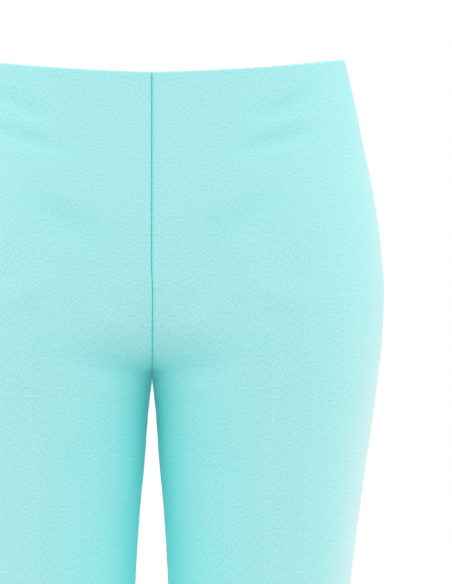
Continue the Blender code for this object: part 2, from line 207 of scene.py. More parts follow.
def half_sections(panel, level):
    """Points, outward normals and lengths of a panel's outer face at each level.

    x = apex - reach * cos(a)^(2/power), y = seam_y + depth * sin(a)^(2/power), with the
    angle a from where the curve leaves the centre plane to half a turn, the side seam.
    """
    level = np.asarray(level, float)[:, None]
    facing = -1 if panel == "front" else 1
    seam_y = SECTION["seam_y"](level)
    depth = np.abs(SECTION[panel](level) - seam_y)
    outer = SECTION["half_width"](level)
    above = level > CROTCH
    inner = np.where(above, -LOBE[panel + "_reach"](level - CROTCH), SECTION["leg_gap"](level))
    nearest = np.maximum(SEAM_GAP / 2, inner)
    apex = np.maximum(SECTION["apex_x"](level), nearest)
    power = SECTION["power"](level)
    start = np.arccos(np.minimum(1.0, (apex - nearest) / (apex - inner)) ** (power / 2))
    angle = start + (math.pi - start) * np.linspace(0, 1, SAMPLES)
    reach = np.where(angle < math.pi / 2, apex - inner, outer - apex)
    cos, sin = np.cos(angle), np.abs(np.sin(angle))
    x = np.maximum(apex - reach * np.sign(cos) * np.abs(cos) ** (2 / power), nearest)
    y = seam_y + facing * np.maximum(depth * sin ** (2 / power), SEAM_GAP / 2)
    length = np.cumsum(np.hypot(np.diff(x, prepend=x[:, :1]), np.diff(y, prepend=y[:, :1])), axis=1)
    nx, ny = -facing * np.gradient(y, axis=1), facing * np.gradient(x, axis=1)
    size = np.hypot(nx, ny)
    nx, ny = nx / size, ny / size
    nx[:, -1], ny[:, -1] = 1, 0
    low = ~above[:, 0]
    nx[low, 0], ny[low, 0] = -1, 0
    return x, y, nx, ny, length


def read_along(at, length, values):
    """Values at the lengths `at` along each row, run on straight past either end."""
    inside = np.stack([np.interp(a, run, row) for a, run, row in zip(at, length, values)])
    first = (values[:, 1:2] - values[:, :1]) / (length[:, 1:2] - length[:, :1])
    last = (values[:, -1:] - values[:, -2:-1]) / (length[:, -1:] - length[:, -2:-1])
    return inside + np.minimum(at, 0) * first + np.maximum(at - length[:, -1:], 0) * last


for word, level in (("waist", WAIST), ("hips", HIPS)):
    halves = [half_sections(panel, [level])[4][0, -1] for panel in ("front", "back")]
    print("round the", word, round(2 * float(sum(halves)), 3), "m")

# %% [markdown]
# ## Folds and creases
# Worn suiting is never quite smooth. Soft hollows pull from the crotch and the hips, the
# legs have a pressed crease in front and behind, and the wide hems fall in shallow
# flutes. They are placed one by one: each row of the table is one straight valley with a bell
# shaped cross section, or a ridge where its depth is negative. The two sides of a garment
# never crease alike, so the right side shifts and scales its copies a little.

# %% Folds
FOLD_COLUMNS = ("panel", "from_x", "from_z", "to_x", "to_z", "depth", "spread")
FOLDS = (
    ("front", 0.078, -0.043, 0.120, -0.021, 2.9 * MM, 6 * MM),
    ("front", 0.060, -0.072, 0.126, -0.052, 2.6 * MM, 7 * MM),
    ("front", 0.032, -0.154, 0.096, -0.112, 1.9 * MM, 12 * MM),
    ("front", 0.010, -0.226, 0.048, -0.206, -1.9 * MM, 10 * MM),
    ("front", 0.006, -0.244, 0.054, -0.247, 2.0 * MM, 8 * MM),
    ("front", 0.018, -0.264, 0.042, -0.259, -2.0 * MM, 7 * MM),
    ("front", 0.020, -0.290, 0.074, -0.330, 1.6 * MM, 15 * MM),
    ("front", 0.094, -0.205, 0.104, -0.180, -1.4 * MM, 24 * MM),
    ("front", 0.124, -0.548, 0.056, -0.592, 2.6 * MM, 13 * MM),
    ("front", 0.050, -0.640, 0.112, -0.668, 1.8 * MM, 15 * MM),
    ("front", 0.054, -0.700, 0.046, -1.060, 3.4 * MM, 15 * MM),
    ("front", 0.136, -0.660, 0.152, -1.060, 3.8 * MM, 17 * MM),
    ("back", 0.046, -0.056, 0.118, -0.040, 2.2 * MM, 8 * MM),
    ("back", 0.070, -0.094, 0.128, -0.074, 1.8 * MM, 10 * MM),
    ("back", 0.026, -0.236, 0.124, -0.268, 3.2 * MM, 12 * MM),
    ("back", 0.034, -0.292, 0.132, -0.318, 3.4 * MM, 11 * MM),
    ("back", 0.030, -0.352, 0.116, -0.368, 2.8 * MM, 13 * MM),
    ("back", 0.124, -0.560, 0.050, -0.602, 3.4 * MM, 13 * MM),
    ("back", 0.128, -0.618, 0.056, -0.668, 2.8 * MM, 14 * MM),
    ("back", 0.046, -0.500, 0.092, -0.540, 1.8 * MM, 12 * MM),
    ("back", 0.058, -0.740, 0.048, -1.060, 4.0 * MM, 16 * MM),
    ("back", 0.130, -0.700, 0.150, -1.060, 3.6 * MM, 18 * MM),
)
FOLD_TAIL = 0.12  # share of its length that a fold runs on past each end
FOLD_EDGE_FADE = 0.018  # folds die away over this length next to a side seam or inseam
CROTCH_RUN = 30 * MM  # from the crotch up, they begin to run on over the centre seam
FOLD_WANDER, FOLD_UNLIKE = 2 * MM, 0.18  # how unlike the right side's copies are
WANDER_PHASES, STRENGTH_PHASE = (7.1, 4.3), 3.7
UNEVEN = 0.28 * MM  # hand of the cloth: slow swells all over
SWELL_COLUMNS = ("across", "along", "phase", "per_shift", "height")
SWELLS = ((71, 23, 1.3, 2, 1.0), (33, -47, 0.4, -1, 1.0), (118, 61, 2.2, 3, 0.4))
PUCKER, PUCKER_REACH, PUCKER_PITCH = 0.11 * MM, 9 * MM, 17 * MM
PUCKER_DRIFT, PUCKER_DRIFT_WAVE = 1.7, 60


def fold_depth(panel, x, level, from_inner, from_side, shift):
    """How far the folds push the cloth in: depth * swell(along) * exp(-(across/spread)^2)."""
    depth = np.zeros_like(x)
    for number, row in enumerate(FOLDS):
        fold = dict(zip(FOLD_COLUMNS, row))
        if fold["panel"] != panel:
            continue
        turn_x, turn_z = (number * phase + shift for phase in WANDER_PHASES)
        wander = np.array([math.sin(turn_x), math.cos(turn_z)]) * FOLD_WANDER * shift
        start = np.array([fold["from_x"], fold["from_z"]]) + wander
        run = np.array([fold["to_x"], fold["to_z"]]) + wander * 0.5 - start
        reach = float(np.hypot(*run))
        way = run / reach
        along = ((x - start[0]) * way[0] + (level - start[1]) * way[1]) / reach
        across = (x - start[0]) * way[1] - (level - start[1]) * way[0]
        swell = np.sin(np.pi * np.clip((along + FOLD_TAIL) / (1 + 2 * FOLD_TAIL), 0, 1)) ** 1.5
        strength = 1 + FOLD_UNLIKE * shift * math.sin(STRENGTH_PHASE * number)
        depth += fold["depth"] * strength * swell * np.exp(-((across / fold["spread"]) ** 2))
    near_side = smoothstep(from_side / FOLD_EDGE_FADE)
    above = smoothstep((level - CROTCH) / CROTCH_RUN)
    near_inseam = above + (1 - above) * smoothstep(from_inner / FOLD_EDGE_FADE)
    return depth * near_side * near_inseam


def swells(x, level, shift):
    """Slow unevenness: crossing waves of unlike length, UNEVEN high where all meet."""
    waves, heights = 0, 0
    for row in SWELLS:
        wave = dict(zip(SWELL_COLUMNS, row))
        angle = x * wave["across"] + level * wave["along"] + wave["phase"]
        waves = waves + np.sin(angle + wave["per_shift"] * shift) * wave["height"]
        heights += wave["height"]
    return UNEVEN * waves / heights


def puckers(from_seam, along, shift):
    """Small pulls beside a seam: a wave along it that dies away within PUCKER_REACH."""
    drift = PUCKER_DRIFT * np.sin(along * PUCKER_DRIFT_WAVE + shift)
    wave = np.sin(along / PUCKER_PITCH * 2 * np.pi + drift)
    return PUCKER * wave * np.exp(-((from_seam / PUCKER_REACH) ** 2)) * smoothstep(from_seam / MM)


print(len(FOLDS), "folds a side")

# %% [markdown]
# ## A sheet that is folded at its edges
# A real panel doesn't end at its seam: 10 mm more is pressed back behind it, and the top
# and the hem are turned in. So the grid of each panel runs on round each edge. Across, a
# column is named by its distance from the seam and by a turn from 0 (the face) to half a
# turn (the allowance behind). Along, a row has the same two. Layers that both turns would
# put in one place are kept apart because the wider turn goes round the narrower one.

# %% The grid's rows and columns
CLOTH = 0.50 * MM  # thickness of the cloth
FOLD_RADIUS = 0.45 * MM  # of a seam's turn, at the middle of the cloth
EDGE_RADIUS = 2 * FOLD_RADIUS + 0.33 * MM  # of the turn at the waist and the hem
TOUCH = 0.14 * MM  # how far past its solid's edge a fold reaches, nearly to its neighbour
ALLOWANCE = 10 * MM  # behind each seam
TOP_TURN, HEM_TURN = 28 * MM, 36 * MM
ARC = np.linspace(0, np.pi, 7)
ALLOWANCE_STEPS = np.array([1.0, 0.72, 0.45, 0.2])  # shares of the depth behind, to the turn
TOP_STEPS = np.array([1.0, 0.8, 0.6, 0.4, 0.2])
HEM_STEPS = np.array([0.15, 0.35, 0.55, 0.78, 1.0])
BESIDE_SEAM = np.array([0.85, 1.15, 1.5, 1.9, 2.4, 3.3, 4.8, 7.0]) * MM
BESIDE_EDGE = np.array([1.5, 2.1, 3.0, 4.5, 6.8]) * MM
CREASE_STEPS = np.array([-7.0, -4.2, -2.4, -1.3, -0.6, 0.0, 0.6, 1.3, 2.4, 4.2, 7.0]) * MM
FACE_COLUMNS, FACE_EASE = 30, 0.3  # between each seam and the crease, closer at both ends
SLANT_LIMIT, SLANT_RUN = 0.12, 0.6 * MM
DENSE_REACH, DENSE_POWER = 0.045, 1.25  # rows crowd towards the crotch over this reach
ROWS_OVER, ROWS_UNDER, HIP_ROWS, LEG_ROWS = 26, 20, 44, 148


def edge_columns():
    """Distances from the seam and turns, from the hidden edge round to the face."""
    arc = CLOTH / 2 - TOUCH + FOLD_RADIUS * (1 - np.sin(ARC[::-1]))
    distance = np.concatenate([arc[0] + ALLOWANCE_STEPS * ALLOWANCE, arc, BESIDE_SEAM])
    behind, face = np.full(len(ALLOWANCE_STEPS), np.pi), np.zeros(len(BESIDE_SEAM))
    return distance, np.concatenate([behind, ARC[::-1], face])


def widen(distance, slant):
    """Distances measured along a section that meets its seam aslant: 1 / slant at first."""
    return distance + (1 / slant - 1) * SLANT_RUN * (1 - np.exp(-distance / SLANT_RUN))


def face_levels():
    """Levels of the face's rows: even spacing, but dense at both ends and the crotch."""
    over = DENSE_REACH * np.linspace(1, 0, ROWS_OVER + 1)[:-1] ** DENSE_POWER
    under = DENSE_REACH * np.linspace(0, 1, ROWS_UNDER + 1)[1:] ** DENSE_POWER
    bottom = HEM + BESIDE_EDGE[::-1]
    hips = np.linspace(-BESIDE_EDGE[-1], CROTCH + DENSE_REACH, HIP_ROWS + 2)[1:-1]
    legs = np.linspace(CROTCH - DENSE_REACH, bottom[0], LEG_ROWS + 2)[1:-1]
    crotch = [CROTCH + over, [CROTCH], CROTCH - under]
    return np.concatenate([-BESIDE_EDGE, hips, *crotch, legs, bottom])[1:-1]


def grid_rows():
    """Level, turn and end (1 at the waist, -1 at the hem) of each row, top layer first."""
    top_arc = EDGE_RADIUS * (np.sin(ARC) - 1) - CLOTH / 2
    hem_arc = HEM + CLOTH / 2 + EDGE_RADIUS * (1 - np.sin(ARC))
    face = face_levels()
    top, hem = -TOP_STEPS * TOP_TURN, HEM + HEM_STEPS * HEM_TURN
    level = np.concatenate([top, top_arc, face, hem_arc, hem])
    behind_top, behind_hem = np.full(len(top), np.pi), np.full(len(hem), np.pi)
    turn = np.concatenate([behind_top, ARC[::-1], np.zeros(len(face)), ARC, behind_hem])
    end = np.where(np.arange(len(level)) < len(top) + len(ARC), 1, -1)
    return level, turn, end


ROW_LEVEL, ROW_TURN, ROW_END = grid_rows()
print(len(ROW_LEVEL), "rows")

# %% [markdown]
# ## Laying a panel out
# The grid is laid on the section curves by length, so the cloth's own lengthwise threads
# run down the crease, as they do in a cut panel. Its map coordinates are metres of cloth.
# The waist isn't level: it rises to the back and scoops down at the centre.

# %% A panel's grid on its sections
WAIST_TILT = 0.1426
WAIST_SCOOP, WAIST_SCOOP_POWER = 9.2 * MM, 1.55
BACK_EASE, BACK_EASE_REACH = 2.0 * MM, 0.02
WAIST_FADE = 0.15  # the tilt dies away over this height below the waist


def waist_rise(level, x, y):
    """How far a point stands over its level: a tilted plane, less a scoop at the centre."""
    to_centre = 1 - np.clip(x / SECTION["half_width"](level), 0, 1) ** WAIST_SCOOP_POWER
    back = smoothstep(y / BACK_EASE_REACH)
    line = WAIST_TILT * y - (WAIST_SCOOP + BACK_EASE * back) * to_centre
    return line * smoothstep(1 + level / WAIST_FADE)


def seam_slant(level, x, y, nx, ny):
    """Sine of the angle between each section and the inner seam that it starts from.

    Near the crotch the seam runs almost along the section, so a turn of the cloth there
    takes up more of the section. The seam's direction is (dx, dy, dz) along its rows.
    """
    order = np.argsort(-level, kind="stable")
    run = np.stack([x[order, 0], y[order, 0], level[order]], 1)
    step = np.gradient(run, axis=0)
    step /= np.maximum(np.linalg.norm(step, axis=1), 1e-9)[:, None]
    across = np.abs(-step[:, 0] * ny[order, 0] + step[:, 1] * nx[order, 0])
    sine = np.empty(len(level))
    sine[order] = np.sqrt(np.maximum(0, 1 - across**2))
    return np.clip(sine, SLANT_LIMIT, 1)[:, None]


def on_sections(sections, at):
    """Place and unit normal at the distances `at` along each section."""
    x, y, nx, ny, length = sections
    px, py, pnx, pny = (read_along(at, length, values) for values in (x, y, nx, ny))
    size = np.hypot(pnx, pny)
    return px, py, pnx / size, pny / size


def lay_out(panel):
    """The grid of a left panel: each point's place, normal, level, turn and distances."""
    sections = half_sections(panel, ROW_LEVEL)
    x, y, nx, ny, length = sections
    total = length[:, -1:]
    to_crease = read_along(SECTION["crease_x"](ROW_LEVEL)[:, None], x, length)
    distance, turn = edge_columns()
    inner = widen(distance[None], seam_slant(ROW_LEVEL, x, y, nx, ny))
    side = total - distance[None, ::-1]
    share = np.linspace(0, 1, FACE_COLUMNS + 2)[None, 1:-1]
    share = share * (1 - FACE_EASE) + smoothstep(share) * FACE_EASE
    crease = to_crease + CREASE_STEPS[None]
    before = inner[:, -1:] + (crease[:, :1] - inner[:, -1:]) * share
    after = crease[:, -1:] + (side[:, :1] - crease[:, -1:]) * share
    at = np.concatenate([inner, before, crease, after, side], axis=1)
    px, py, pnx, pny = on_sections(sections, at)
    flat = np.zeros(2 * FACE_COLUMNS + len(CREASE_STEPS))
    return SimpleNamespace(
        panel=panel,
        facing=-1 if panel == "front" else 1,
        level=np.broadcast_to(ROW_LEVEL[:, None], at.shape),
        at=at,
        to_side=total - at,
        from_crease=at - to_crease,
        turn=np.concatenate([turn, flat, turn[::-1]])[None],
        x=px,
        y=py,
        nx=pnx,
        ny=pny,
        square=ny[:, :1] ** 2,  # 1 where the section meets the centre plane squarely
        widths=total[:, 0],
    )


print("a front has rows and columns:", lay_out("front").at.shape)

# %% [markdown]
# ## The relief of a panel
# Everything that lifts the cloth off its section or sinks it in is added up here: the
# ridge of the crease, the folds, the swells, the puckers and the pull of the stitches.
# The two sides of the centre seam are drawn together on the centre plane, and the sewn
# line drifts a little to one side over the hips. The allowance presses one line through.

# %% Relief and shape
RIDGE_WIDTH_TOP, RIDGE_WIDTH_HEM = 10 * MM, 26 * MM
PRESS_HEIGHT, PRESS_WIDTH = 0.12 * MM, 0.7 * MM  # the sharp line on top of the ridge
PRESS_TOP, PRESS_FADE = -0.222, 0.05  # where the pressed line begins, and its run-in
SEAM_SINK, SEAM_SINK_REACH = 0.45 * MM, 2.4 * MM  # stitches pull the cloth in beside a seam
INSEAM_SINK = 0.08 * MM
SEAM_DRIFT, DRIFT_REACH = 0.38 * MM, 0.05  # the front seam isn't quite straight
DRIFT_LEVEL, DRIFT_RUN = -0.178, 0.02
CLOSED, CLOSE_REACH = 0.01 * MM, 6 * MM  # how near the sewn sides come to the centre plane
CLOSE_RUN = 3 * MM
IMPRINT, IMPRINT_AT, IMPRINT_WIDTH = 0.20 * MM, 1.5 * MM, 0.5 * MM  # of the allowance below
IMPRINT_RUN = 0.1


def near(distance, reach, power=2):
    """1 at a line and less and less beside it: exp(-(distance / reach)^power)."""
    return np.exp(-((distance / reach) ** power))


def relief(grid, shift):
    """How far the cloth stands out of its section, with the parts that are also shaded."""
    down = smoothstep((CROTCH - grid.level) / (CROTCH - HEM))
    width = RIDGE_WIDTH_TOP + (RIDGE_WIDTH_HEM - RIDGE_WIDTH_TOP) * down
    ends = smoothstep(grid.at / FOLD_EDGE_FADE) * smoothstep(grid.to_side / FOLD_EDGE_FADE)
    from_crease = np.abs(grid.from_crease)
    pressed = smoothstep((PRESS_TOP - grid.level) / PRESS_FADE) * near(from_crease, PRESS_WIDTH, 1)
    folds = fold_depth(grid.panel, grid.x, grid.level, grid.at, grid.to_side, shift)
    out = SECTION["ridge"](grid.level) * near(from_crease, width, 1) * ends
    out = out + PRESS_HEIGHT * pressed - folds + swells(grid.x, grid.level, shift) * ends
    out += puckers(grid.to_side, grid.level, shift) + puckers(grid.at, grid.level, shift + 2)
    out -= INSEAM_SINK * (grid.level <= CROTCH) * near(grid.at, SEAM_SINK_REACH)
    out -= SEAM_SINK * near(grid.to_side, SEAM_SINK_REACH)
    imprint = np.zeros_like(grid.at)
    if grid.panel == "front" and shift == 0:
        imprint = near(grid.at - IMPRINT_AT, IMPRINT_WIDTH) * (grid.turn == 0)
        imprint = imprint * smoothstep((grid.level - CROTCH) / IMPRINT_RUN)
    return out - IMPRINT * imprint, folds, pressed, imprint


def shaped(grid, out, shift):
    """The middle surface, folded at all four edges and drawn to the centre plane.

    Also gives x before the front seam's drift, which says how far off the seam is.
    """
    radius = EDGE_RADIUS - FOLD_RADIUS * (1 - np.cos(grid.turn))
    row_turn = ROW_TURN[:, None]
    out = out - EDGE_RADIUS + radius * np.cos(row_turn) - CLOTH / 2
    x, y = grid.x + grid.nx * out, grid.y + grid.ny * out
    z = grid.level + waist_rise(grid.level, grid.x, grid.y)
    z += (radius - EDGE_RADIUS) * np.sin(row_turn) * ROW_END[:, None]
    squarely = np.where(grid.level > CROTCH, grid.square, 0)
    y -= grid.facing * SEAM_SINK * squarely * near(grid.at, SEAM_SINK_REACH)
    open_by = x.min(axis=1, keepdims=True) - CLOTH / 2 - CLOSED
    sewn = smoothstep((grid.level - CROTCH) / CLOSE_RUN + 0.5)
    x -= open_by * sewn * near(np.maximum(grid.at, 0), CLOSE_REACH)
    drift = 0
    if grid.panel == "front":
        drift = SEAM_DRIFT * (2 * smoothstep((DRIFT_LEVEL - grid.level) / DRIFT_RUN + 0.5) - 1)
        drift *= (1 - smoothstep(grid.at / DRIFT_REACH)) * (1 if shift == 0 else -1)
    return np.stack([x + drift, y, z], 2), x


# %% [markdown]
# ## Marks for the colour
# The material needs to know where it is on the garment, so each point carries a few marks
# from 0 to 1: painted shade in the seam grooves and a little in the hollows, pressed (a
# painted highlight along the crease), inner (painted shade between the legs, where light
# only comes off other cloth), glow (painted light where some of it comes through) and how
# much painted sheen shows where the cloth turns away, least at the waist.

# %% Marks and panels
# painted shade in the cloth's rounded turns at every seam and edge, and along the allowance's imprint
TURN_SHADE, IMPRINT_SHADE = 1.35, 0.22
# painted shade along the centre seam: its width, and how it widens and deepens towards the crotch
GROOVE_HALF, GROOVE_TOP = 0.42 * MM, 0.95  # half width of the dark line of the seam
GROOVE_WIDENS, GROOVE_LEVEL, GROOVE_RUN = 0.8, -0.205, 0.036
GROOVE_DEEPENS_AT, GROOVE_DEEPENS_RUN = -0.19, 0.04
# painted shade in the hollows of the folds
HOLLOW_SHADE, HOLLOW_DEEP = 0.07, 2.4 * MM  # a hollow in the cloth looks a little deeper
# painted shade between the legs: how far round it reaches, where it begins and how it fades
INNER_REACH, INNER_POWER = 84 * MM, 2.4  # how far round from the inseam the shade reaches
INNER_TOP, INNER_RUN = -0.212, 0.06
INNER_FADE, INNER_FADE_RUN = 0.6, 0.5  # it fades down the legs, where they stand apart
# painted sheen: how much of it shows at each level, none at the waist
PAINTED_SHEEN_LEVELS, PAINTED_SHEEN_SHARES = (-0.30, -0.20, -0.11, 0.0), (1.40, 0.88, 0.62, 0.0)
# painted light: a faint emitted glow along the inner edges of the legs, where bounce light is missing
GLOW_LEVEL, GLOW_RUN, GLOW_REACH, EDGE_GLOW = -0.256, 0.024, 26 * MM, 0.6


def shading_marks(grid, folds, pressed, imprint, plane_x):
    """The marks of every point, by name."""
    level, at = grid.level, np.maximum(grid.at, 0)
    groove = GROOVE_HALF * (1 + GROOVE_WIDENS * smoothstep((GROOVE_LEVEL - level) / GROOVE_RUN))
    line = near(np.maximum(plane_x - CLOTH / 2, 0), groove) * (level > CROTCH)
    deeper = smoothstep((GROOVE_DEEPENS_AT - level) / GROOVE_DEEPENS_RUN)
    # painted shade: in the turns of the cloth, in a line along the centre seam and in the hollows of the
    # folds
    turned = np.minimum(1, TURN_SHADE * np.sin(grid.turn)) * np.ones_like(at)
    turned = np.maximum(turned, line * (GROOVE_TOP + (1 - GROOVE_TOP) * deeper))
    turned = np.maximum(turned, HOLLOW_SHADE * np.clip(folds / HOLLOW_DEEP, 0, 1))
    # painted shade between the legs, strongest near the crotch
    inner = near(at, INNER_REACH, INNER_POWER) * smoothstep((INNER_TOP - level) / INNER_RUN)
    inner = inner * (1 - INNER_FADE * smoothstep((CROTCH - level) / INNER_FADE_RUN))
    # painted light along the inner edges of the legs
    along_leg = EDGE_GLOW * smoothstep((CROTCH - level) / GLOW_RUN)
    return {
        # painted sheen, kept off the painted shade between the legs
        "bloom": np.interp(level, PAINTED_SHEEN_LEVELS, PAINTED_SHEEN_SHARES) * (1 - inner),
        # painted light near the crotch and along the inner edges of the legs
        "glow": np.maximum(along_leg, near(level - GLOW_LEVEL, GLOW_RUN)) * near(at, GLOW_REACH),
        "pressed": pressed,
        "turned": np.maximum(turned, IMPRINT_SHADE * imprint),
        "inner": inner,
    }


def panel_sheet(panel, shift):
    """The folded middle surface of a left panel: points, map, marks and area of its cut.

    The cut is the sum of mean width * step between rows, and both side allowances.
    """
    grid = lay_out(panel)
    out, folds, pressed, imprint = relief(grid, shift)
    points, plane_x = shaped(grid, out, shift)
    marks = shading_marks(grid, folds, pressed, imprint, plane_x)
    behind = np.where(ROW_END[:, None] > 0, -grid.level, 2 * HEM - grid.level)
    map_y = np.where(ROW_TURN[:, None] > np.pi / 2, behind, grid.level)
    cloth_map = np.stack([grid.from_crease, map_y], 2)
    cut = float(np.sum((grid.widths[:-1] + grid.widths[1:]) / 2 * np.abs(np.diff(ROW_LEVEL))))
    return points, cloth_map, marks, cut + 2 * ALLOWANCE * (WAIST - HEM)


def grid_normals(points):
    """Unit normals of a grid: the cross product of its two directions."""
    across, along = np.gradient(points, axis=1), np.gradient(points, axis=0)
    normal = np.cross(across, along)
    return normal / np.maximum(np.linalg.norm(normal, axis=2, keepdims=True), 1e-12)


# %% [markdown]
# ## From a sheet to a closed mesh
# Both faces of the cloth are the middle surface moved half a thickness along its normals.
# The two grids are joined round all four sides, so the mesh is closed. Mirroring the left
# panel turns it inside out, so the right one winds its faces the other way.

# %% Closed shells
def closed_shell(name, points, cloth_map, marks, side, thickness):
    """A closed mesh round a grid of points, with its map and marks as attributes."""
    rows, cols = points.shape[:2]
    normal = grid_normals(points)
    both = np.concatenate([points - normal * thickness / 2, points + normal * thickness / 2]).reshape(-1, 3)
    both[:, 0] *= side
    index = np.arange(rows * cols).reshape(rows, cols)
    other = index + rows * cols

    def strip(a, b):
        return np.stack([a[:-1], a[1:], b[1:], b[:-1]], 1)

    def face(a):
        return np.stack([a[:-1, :-1], a[:-1, 1:], a[1:, 1:], a[1:, :-1]], 2).reshape(-1, 4)

    faces = np.concatenate(
        [
            face(index),
            face(other)[:, ::-1],
            strip(other[0], index[0]),
            strip(index[-1], other[-1]),
            strip(index[:, 0], other[:, 0]),
            strip(other[:, -1], index[:, -1]),
        ]
    )
    if side < 0:
        faces = faces[:, ::-1]
    mesh = bpy.data.meshes.new(name)
    mesh.vertices.add(len(both))
    mesh.vertices.foreach_set("co", both.ravel())
    mesh.loops.add(faces.size)
    mesh.loops.foreach_set("vertex_index", faces.ravel())
    mesh.polygons.add(len(faces))
    mesh.polygons.foreach_set("loop_start", np.arange(0, faces.size, 4))
    mesh.update(calc_edges=True)
    two = np.concatenate([cloth_map.reshape(-1, 2)] * 2)
    layer = mesh.uv_layers.new(name="cloth_map")
    layer.data.foreach_set("uv", two[faces.ravel()].ravel())
    for word, values in marks.items():
        mark = mesh.attributes.new(word, "FLOAT", "POINT")
        mark.data.foreach_set("value", np.concatenate([values.ravel()] * 2))
    mesh.shade_smooth()
    piece = bpy.data.objects.new(name, mesh)
    bpy.context.scene.collection.objects.link(piece)
    print(name, len(mesh.polygons), "faces")
    return piece


# %% [markdown]
# ## Building materials
# A few short helpers make shader nodes, so that each material below reads as a recipe. An
# input that is given another node's output is linked to it, and any other value is set.

# %% Node helpers
def fill(tree, node, inputs):
    """Links or sets the named inputs of a node."""
    for word, value in inputs.items():
        if isinstance(value, bpy.types.NodeSocket):
            tree.links.new(value, node.inputs[word])
        else:
            node.inputs[word].default_value = value


def add_node(tree, kind, inputs=None, **settings):
    """A new node of a kind, with its settings first and then its inputs."""
    node = tree.nodes.new("ShaderNode" + kind)
    for word, value in settings.items():
        setattr(node, word, value)
    fill(tree, node, inputs or {})
    return node


def math_of(tree, operation, *values):
    """The result of one Math node."""
    return add_node(tree, "Math", dict(enumerate(values)), operation=operation).outputs[0]


def mixed(tree, share, first, second):
    """first * (1 - share) + second * share, for colours."""
    inputs = {0: share, 6: first, 7: second}
    return add_node(tree, "Mix", inputs, data_type="RGBA").outputs[2]


def scaled(tree, vector, factor):
    """vector * factor, for a colour or a place."""
    inputs = {0: vector, "Scale": factor}
    return add_node(tree, "VectorMath", inputs, operation="SCALE").outputs["Vector"]


def mark(tree, word):
    """A point's mark, by name."""
    return add_node(tree, "Attribute", attribute_name=word).outputs["Fac"]


def new_material(name):
    """A material, its node tree and its own Principled shader."""
    material = bpy.data.materials.new(name)
    material.use_nodes = True
    return material, material.node_tree, material.node_tree.nodes["Principled BSDF"]


# %% [markdown]
# ## Weave, as a shared node group
# The cloth is a double-weave stretch suiting: matt, with threads about half a millimetre
# apart that only show as a fine grain. The group turns the cloth's map into a height for
# the bump, and into a slight lengthwise streak of shade. Thread and tape use it too.

# %% Weave group
GRAIN_SCALE = (980, 500, 500)  # blotches a millimetre wide and two along the cloth
CROSSING = 0.35  # share of the threads' own pattern in the height


def build_weave():
    """Height = CROSSING * warp wave * weft wave + noise; Shade = 1 + Streak * (noise - 0.5)."""
    tree = bpy.data.node_groups.new("weave", "ShaderNodeTree")
    for word, kind, value in (
        ("Map", "Vector", None),
        ("Threads per metre", "Float", 2000.0),
        ("Streak", "Float", 0.46),
    ):
        socket = tree.interface.new_socket(name=word, in_out="INPUT", socket_type="NodeSocket" + kind)
        if value is not None:
            socket.default_value = value
    for word in ("Height", "Shade"):
        tree.interface.new_socket(name=word, in_out="OUTPUT", socket_type="NodeSocketFloat")
    given = tree.nodes.new("NodeGroupInput").outputs
    threads = scaled(tree, given["Map"], given["Threads per metre"])
    split = add_node(tree, "SeparateXYZ", {0: threads}).outputs
    warp, weft = (
        math_of(tree, "SINE", math_of(tree, "MULTIPLY", split[axis], math.pi)) for axis in "XY"
    )
    stretched = add_node(tree, "Mapping", {"Vector": given["Map"], "Scale": GRAIN_SCALE})
    inputs = {"Vector": stretched.outputs["Vector"], "Scale": 1.0, "Detail": 2.0}
    grain = add_node(tree, "TexNoise", inputs).outputs["Fac"]
    crossing = math_of(tree, "MULTIPLY", warp, weft)
    height = math_of(tree, "MULTIPLY_ADD", crossing, CROSSING, grain)
    centred = math_of(tree, "SUBTRACT", grain, 0.5)
    shade = math_of(tree, "MULTIPLY_ADD", centred, given["Streak"], 1.0)
    fill(tree, tree.nodes.new("NodeGroupOutput"), {"Height": height, "Shade": shade})
    return tree


weave = build_weave()
print("weave group with", len(weave.nodes), "nodes")

# %% [markdown]
# ## The suiting
# The colour is a clear, saturated aqua. Over it lies a painted sheen: the colour is mixed
# towards white where the cloth turns away from the view, most at the sides. Between the legs
# light only arrives off other aqua cloth. The render's few bounces don't carry that, so the
# marks paint shade there by deepening the colour, and paint back the little light that comes
# through as a faint glow.

# %% Suiting material
AQUA = (0.438, 0.918, 0.918, 1.0)
# painted highlight along the pressed crease
PAINTED_CREASE_HIGHLIGHT = (0.56, 0.94, 0.94, 1.0)  # of the pressed line
# painted shade in the seam grooves, the fold hollows and the allowance's imprint
PAINTED_SHADE_AQUA = (0.020, 0.74, 0.74, 1.0)  # in a groove
# painted shade between the legs, where light only comes off other cloth
PAINTED_LEG_SHADE_AQUA = (0.265, 0.920, 0.920, 1.0)
# painted light, emitted as a faint glow
PAINTED_GLOW_AQUA = (0.026, 0.065, 0.065, 1.0)
# painted sheen: the base colour turns towards this white where the cloth is seen edge-on
PAINTED_SHEEN_WHITE = (0.90, 1.0, 1.0, 1.0)
BLACK = (0, 0, 0, 1)
PAINTED_SHEEN, PAINTED_SHEEN_POWER = 0.55, 1.8
# share of the painted highlight on the crease
CREASE_HIGHLIGHT_SHARE = 0.36


def bump_of(tree, height, strength, distance):
    """The normal of a surface that a height lifts by up to a distance."""
    inputs = {"Height": height, "Strength": strength, "Distance": distance}
    return add_node(tree, "Bump", inputs).outputs["Normal"]


